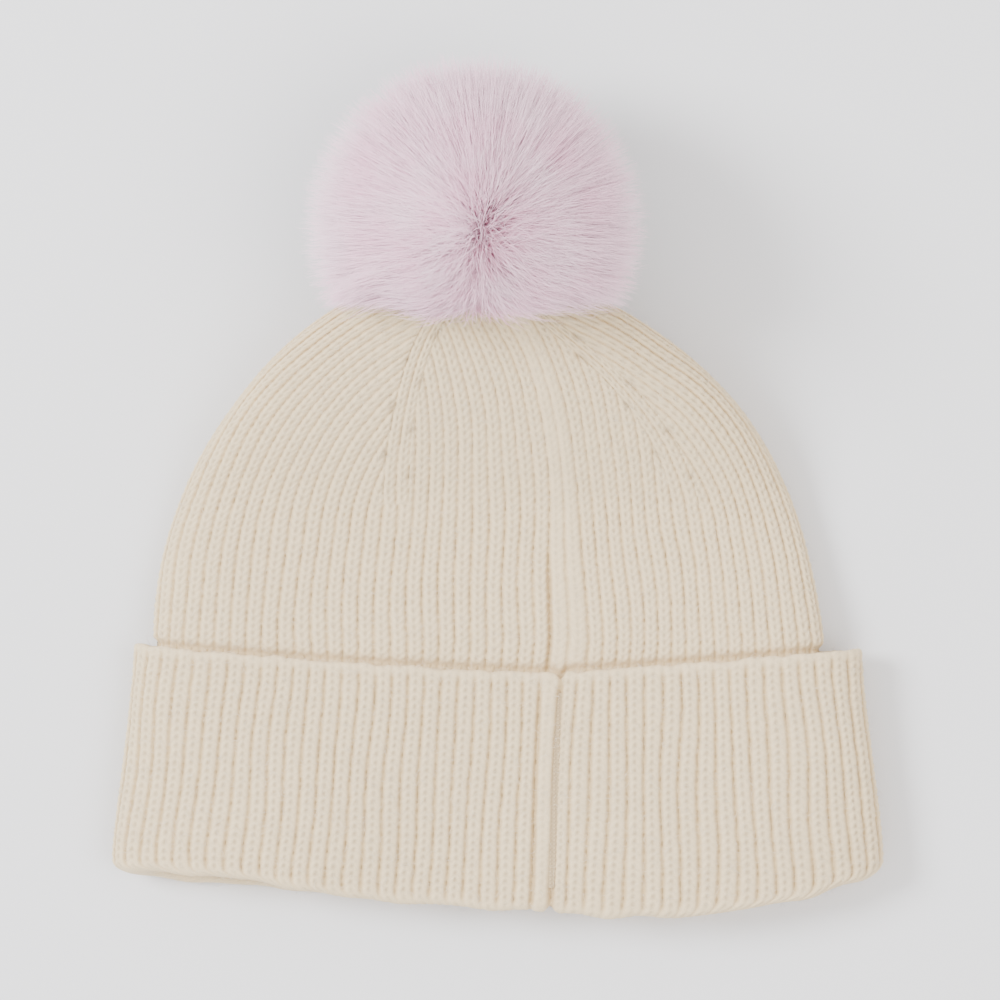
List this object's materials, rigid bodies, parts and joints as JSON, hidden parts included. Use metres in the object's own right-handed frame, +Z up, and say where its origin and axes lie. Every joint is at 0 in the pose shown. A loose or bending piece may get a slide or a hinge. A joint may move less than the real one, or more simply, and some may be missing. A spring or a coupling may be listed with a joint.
{
  "type": "pom pom beanie",
  "caption": "Rib-knitted beanie lying flat, back seam up, with a turned-up cuff, a gathered crown and a long-pile faux-fur pom tied at its tip.",
  "frame": {"origin": "under the middle of the whole hat, on the surface it lies on", "axes": "+Y from the mouth to the pom, +Z up from the surface through the front and then the back of the hat, +X across"},
  "size_m": [0.24, 0.2631, 0.093],
  "materials": {
    "cream_knit": "soft 1x1 rib knit",
    "cream_thread": "spun thread",
    "label_weave": "fine satin weave, blank",
    "button_plastic": "satin",
    "white_cord": "braided cord",
    "pink_thread": "spun thread",
    "fibre_fill": "loose fibre",
    "pink_fur": "long soft pile"
  },
  "bodies": {
    "body": {"crown_knit": "cream_knit", "crown_seam_thread": "cream_thread", "crown_gather_thread": "cream_thread", "care_label": "label_weave", "care_label_stitches": "cream_thread"},
    "cuff": {"cuff_knit": "cream_knit", "cuff_seam_thread": "cream_thread"},
    "button": {"anchor_button": "button_plastic"},
    "tie": {"tie_cord": "white_cord", "tie_knot": "white_cord"},
    "pom": {"pom_toggle": "button_plastic", "pom_gather_thread": "pink_thread", "fibre_fill": "fibre_fill", "fur_cover": "pink_fur"}
  },
  "joints": [
    {"name": "cuff_turn_down", "type": "slide", "parent": "body", "child": "cuff", "axis": [0, -1, 0], "range_m": [0, 0.066]},
    {"name": "pom_nod", "type": "hinge", "parent": "body", "child": "button", "pos_m": [-0.007, 0.0566, 0.036], "axis": [1, 0, 0], "range_deg": [-20, 20]},
    {"name": "pom_sway", "type": "hinge", "parent": "button", "child": "tie", "pos_m": [-0.007, 0.0566, 0.036], "axis": [0, -0.393, 0.9196], "range_deg": [-15, 15]},
    {"name": "pom_spin", "type": "hinge", "parent": "tie", "child": "pom", "pos_m": [-0.007, 0.0566, 0.036], "axis": [0, 0.9196, 0.393], "range_deg": [-90, 90]}
  ]
}
